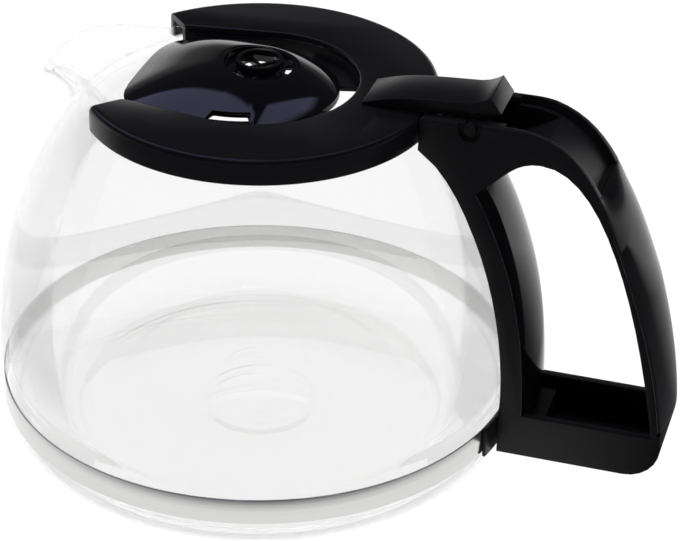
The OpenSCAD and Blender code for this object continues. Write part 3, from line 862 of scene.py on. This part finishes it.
@dataclass
class HandleCover:
    """A glossy crowned shell that lies along one line of the handle's side view."""

    half_width: float = 12.5 * MM
    top_half_width: float = 11.0 * MM
    low_z: float = 74.8 * MM
    high_z: float = 102.8 * MM
    steps_across: int = 24

    def half_at(self, height: float) -> float:
        """Half the handle's width at a height."""
        share = min(max((height - self.low_z) / (self.high_z - self.low_z), 0.0), 1.0)
        return self.half_width + (self.top_half_width - self.half_width) * share

    def shell(self, path: Sequence[Vector], edge: float, crowns: Sequence[float]) -> bmesh.types.BMesh:
        """The shell along a path, crowned to the path's left.

        Args:
            path: Points in x and z that the shell's back lies on.
            edge: The thickness of its long edges.
            crowns: How far the middle stands out beyond the edges, for each point.

        Returns:
            The shape.
        """
        loops = []
        for before, here, after, crown in zip([path[0], *path], path, [*path[1:], path[-1]], crowns):
            along = (after - before).normalized()
            out = Vector((-along.y, along.x))
            half = self.half_at(here.y)
            loop = [Vector((here.x, -half, here.y))]
            for step in range(self.steps_across + 1):
                share = 2.0 * step / self.steps_across - 1.0
                place = here + out * (edge + crown * (1.0 - share * share))
                loop.append(Vector((place.x, half * share, place.y)))
            loop.append(Vector((here.x, half, here.y)))
            loops.append(loop)
        return rounded(lofted(loops, False), 0.2 * MM, 3, 40.0)


def bent(corners: Sequence[tuple[float, float]], steps: int) -> list[Vector]:
    """Points on one cubic curve of the handle's side view.

    Args:
        corners: Its two ends with the two handles between them, in millimetres.
        steps: Steps along it.

    Returns:
        The points, in metres.
    """
    start, first, second, end = [Vector((x * MM, z * MM, 0.0)) for x, z in corners]
    return [point.to_2d() for point in interpolate_bezier(start, first, second, end, steps + 1)]


@dataclass
class GripCover(HandleCover):
    """The shell on the outside of the grip, flush with the handle's sides."""

    top: tuple[float, float] = (71.0, 104.8)
    knee: tuple[float, float] = (100.2, 79.2)
    heel: tuple[float, float] = (116.8, 16.3)
    start_z: float = 89.3 * MM
    end_z: float = 20.7 * MM
    seat: float = 0.75 * MM
    crown: float = 3.8 * MM

    def build(self) -> None:
        """Makes the shell."""
        upper = bent([self.top, (86.52, 104.8), (94.3, 93.56), self.knee], 40)
        lower = bent([self.knee, (107.87, 60.53), (115.3, 39.7), self.heel], 64)
        line = [point for point in [*upper, *lower[1:]] if self.end_z <= point.y <= self.start_z]
        path = []
        crowns = []
        for index, here in enumerate(line):
            before, after = line[max(index - 1, 0)], line[min(index + 1, len(line) - 1)]
            along = (after - before).normalized()
            path.append(here + Vector((along.y, -along.x)) * self.seat)
            share = index / (len(line) - 1)
            fade = 1.0 - 0.55 * max(0.0, (share - 0.45) / 0.55)
            crowns.append(self.crown * (1.0 - 1.12 * math.exp(-share / 0.06)) * fade)
        finished(self.shell(path, self.seat, crowns), "grip_shell", Body.JUG, GLOSS, ["grip_cover"], 30.0)


@dataclass
class SpineCover(HandleCover):
    """The shell on the spine behind the glass, towards the hand."""

    foot: tuple[float, float] = (78.15, 19.45)
    head: tuple[float, float] = (62.65, 85.1)
    edge: float = 0.3 * MM
    crown: float = 2.7 * MM

    def build(self) -> None:
        """Makes the shell."""
        line = bent([self.head, (74.35, 64.8), (78.35, 42.4), self.foot], 56)
        last = len(line) - 1
        crowns = [self.crown * (1.0 - 0.3 * math.exp(-20.0 * index / last)) for index in range(last + 1)]
        finished(self.shell(line, self.edge, crowns), "spine_shell", Body.JUG, GLOSS, ["spine_cover"], 30.0)


@dataclass
class CarriedPieces:
    """The CAD nodes whose shape is right: each gets rounded edges and its finish.

    A lift raises the points of one node that lie within a radius, on the near side of a line across and
    below a height.
    """

    lifts: list[tuple[str, float, float, float, float]] = field(default_factory=lambda: [
        ("lid_funnel", 90.0 * MM, 12.0 * MM, 99.0 * MM, 1.8 * MM),
        ("drip_insert", 9.2 * MM, 90.0 * MM, 105.0 * MM, 0.8 * MM),
        ("drip_insert", 90.0 * MM, 90.0 * MM, 120.0 * MM, 1.4 * MM),
    ])
    pieces: list[tuple[str, str, Body, Finish, float]] = field(default_factory=lambda: [
        ("handle_frame", "handle", Body.JUG, MATTE, 0.4 * MM),
        ("band_clamp", "clamp", Body.JUG, MATTE, 0.2 * MM),
        ("clamp_screw", "foot_screw", Body.JUG, SCREW_STEEL, 0.1 * MM),
        ("neck_collar", "collar", Body.JUG, MATTE, 0.2 * MM),
        ("collar_screw", "neck_screw", Body.JUG, SCREW_STEEL, 0.1 * MM),
        ("lid_ring", "ring", Body.LID, SATIN, 0.9 * MM),
        ("lid_funnel", "funnel", Body.LID, MATTE, 0.2 * MM),
        ("drip_insert", "drip", Body.LID, GLOSS, 0.15 * MM),
        ("thumb_lever", "lever", Body.LID, SATIN, 0.5 * MM),
        ("lever_screws", "ring_screws", Body.LID, SCREW_STEEL, 0.1 * MM),
        ("hinge_pin", "pin", Body.LID, MATTE, 0.2 * MM),
    ])

    def build(self) -> None:
        """Makes the copies."""
        for node, name, body, finish, width in self.pieces:
            shape = softened(node, width)
            for lifted, within, near, below, lift in self.lifts:
                low = [vert for vert in shape.verts if lifted == node and vert.co.z < below
                       and vert.co.y < near and vert.co.xy.length < within]
                bmesh.ops.translate(shape, vec=(0.0, 0.0, lift), verts=low)
            finished(shape, name, body, finish, [node])


@dataclass
class Studio:
    """Floor, light, world and camera.

    Two bluish windows overhead show in the glossy pieces. The left one has a sloped top and the right one a
    bowed top, both measured across and along the sky plane over the object.
    """

    camera_place: tuple[float, float, float] = (0.1895047, -0.5663700, 0.3988064)
    camera_turn_deg: tuple[float, float, float] = (59.28005, -0.84229, 16.87481)
    camera_lens: float = 132.464
    floor_half: float = 3.0
    floor_drop: float = 0.0002
    bright_r: float = 0.12
    glow_share: float = 0.94
    white_level: float = 1.06
    near_wall: float = 0.35
    wall_stops: tuple[tuple[float, float], ...] = (
        (0.0, 0.95), (0.07, 0.85), (0.18, 0.20), (0.34, 0.04), (1.0, 0.03))
    left_slope: float = 0.70
    right_bow: float = 1.9

    def floor(self) -> None:
        """A wide pale floor that keeps the object's soft shadow.

        Reflections see it white near the jug and behind it, and dark towards the camera.
        """
        shape = bmesh.new()
        bmesh.ops.create_grid(shape, x_segments=2, y_segments=2, size=self.floor_half)
        mesh = bpy.data.meshes.new("floor")
        shape.to_mesh(mesh)
        shape.free()
        mesh.transform(Matrix.Translation((0.0, 0.0, -self.floor_drop)))
        plane = bpy.data.objects.new("floor", mesh)
        bpy.context.scene.collection.objects.link(plane)
        paper = bpy.data.materials.new("floor_paper")
        paper.use_nodes = True
        graph = Graph(paper.node_tree)
        rays = graph.node("ShaderNodeLightPath")
        place = graph.node("ShaderNodeTexCoord")
        split = graph.node("ShaderNodeSeparateXYZ", {}, {0: place.outputs["Object"]})
        across, along = graph.field(split, "X"), graph.field(split, "Y")
        radius = (across * across + along * along) ** 0.5
        near = ((self.bright_r - radius) * 33.0).clipped()
        behind = ((along * AHEAD_Y + across * AHEAD_X) * 8.0).clipped()
        seen = graph.field(rays, "Is Camera Ray") + graph.field(rays, "Is Transmission Ray")
        level = (seen + near + behind).clipped()
        shown = (seen + graph.field(rays, "Is Glossy Ray")).clipped() * self.glow_share
        diffuse = graph.node("ShaderNodeBsdfDiffuse", {}, {"Color": (0.86, 0.86, 0.86, 1.0)})
        glow = graph.node("ShaderNodeEmission", {}, {
            "Color": graph.mixed((0.06, 0.06, 0.06), (1.0, 1.0, 1.0), level), "Strength": self.white_level})
        mix = graph.node("ShaderNodeMixShader", {}, {0: shown, 1: diffuse.outputs[0], 2: glow.outputs[0]})
        graph.node("ShaderNodeOutputMaterial", {}, {"Surface": mix.outputs[0]})
        mesh.materials.append(paper)

    def world(self) -> None:
        """White to the camera and through glass, a darker room to reflections."""
        world = bpy.data.worlds.new("room")
        bpy.context.scene.world = world
        world.use_nodes = True
        graph = Graph(world.node_tree)
        rays = graph.node("ShaderNodeLightPath")
        seen = (graph.field(rays, "Is Camera Ray") + graph.field(rays, "Is Transmission Ray")).clipped()
        direction = graph.node("ShaderNodeTexCoord")
        split = graph.node("ShaderNodeSeparateXYZ", {}, {0: direction.outputs["Generated"]})
        height = graph.field(split, "Z")
        overhead = height.maths("MAXIMUM", height, 0.05)
        across, along = graph.field(split, "X") / overhead, graph.field(split, "Y") / overhead
        ahead = graph.field(split, "Y") * AHEAD_Y + graph.field(split, "X") * AHEAD_X
        wall = graph.field(graph.node("ShaderNodeValToRGB", {"stops": self.wall_stops}, {0: height}))
        wall = wall * (self.near_wall + ((ahead + 0.2) * 2.0).clipped() * (1.0 - self.near_wall))
        left_top = (along + across * self.left_slope).band(-0.60, 0.06, 0.20, 0.05)
        right_top = (along - across * across * self.right_bow).band(-0.50, 0.08, 0.20, 0.05)
        left_pane = across.band(-1.90, 0.115, 0.30, 0.03) * left_top
        window = left_pane + across.band(0.165, 0.76, 0.03, 0.12) * right_top
        room = graph.node("ShaderNodeBackground", {}, {
            "Color": graph.mixed((0.0, 0.0, 0.0), (1.0, 1.0, 1.0), wall.clipped()), "Strength": 1.0})
        panes_light = graph.node("ShaderNodeBackground", {}, {
            "Color": graph.mixed((0.0, 0.0, 0.0), (0.55, 0.56, 0.95), window.clipped()), "Strength": 1.3})
        both = graph.node("ShaderNodeAddShader", {}, {0: room.outputs[0], 1: panes_light.outputs[0]})
        white = graph.node("ShaderNodeBackground", {}, {
            "Color": (1.0, 1.0, 1.0, 1.0), "Strength": self.white_level})
        mix = graph.node("ShaderNodeMixShader", {}, {0: seen, 1: both.outputs[0], 2: white.outputs[0]})
        graph.node("ShaderNodeOutputWorld", {}, {"Surface": mix.outputs[0]})

    def lamp(self, name: str, place: tuple[float, float, float], width: float, height: float,
             power: float) -> None:
        """Hangs one soft box that faces the object.

        Args:
            name: The lamp's name.
            place: Where it hangs.
            width: Its width.
            height: Its height.
            power: Its power in watts.
        """
        data = bpy.data.lights.new(name, "AREA")
        data.shape = "RECTANGLE"
        data.size = width
        data.size_y = height
        data.energy = power
        lamp = bpy.data.objects.new(name, data)
        bpy.context.scene.collection.objects.link(lamp)
        lamp.location = place
        lamp.visible_glossy = False
        lamp.rotation_euler = (Vector((0.0, 0.0, 0.06)) - Vector(place)).to_track_quat("-Z", "Y").to_euler()

    def camera(self) -> None:
        """Stands the camera where the photograph was taken."""
        data = bpy.data.cameras.new("view")
        data.lens = self.camera_lens
        data.clip_start = 0.05
        data.clip_end = 20.0
        camera = bpy.data.objects.new("view", data)
        bpy.context.scene.collection.objects.link(camera)
        camera.location = self.camera_place
        camera.rotation_euler = [math.radians(turn) for turn in self.camera_turn_deg]
        bpy.context.scene.camera = camera

    def build(self) -> None:
        """Sets up everything round the object."""
        bpy.context.scene.view_settings.view_transform = "Standard"
        self.floor()
        self.world()
        self.lamp("left_box", (-0.9, -0.5, 0.9), 0.6, 0.6, 6.0)
        self.lamp("top_box", (0.1, 0.5, 1.2), 0.8, 0.5, 14.0)
        self.lamp("right_box", (1.1, -0.3, 0.6), 0.4, 0.8, 3.5)
        self.camera()


def main() -> None:
    """Builds the server and its studio."""
    logging.basicConfig(level=logging.INFO, format="%(name)s %(message)s")
    Studio().build()
    for part in (GlassJug(), SteelBand(), DomeCap(), GripCover(), SpineCover(), CarriedPieces()):
        LOG.info("building %s", type(part).__name__)
        part.build()


if __name__ == "__main__":
    main()
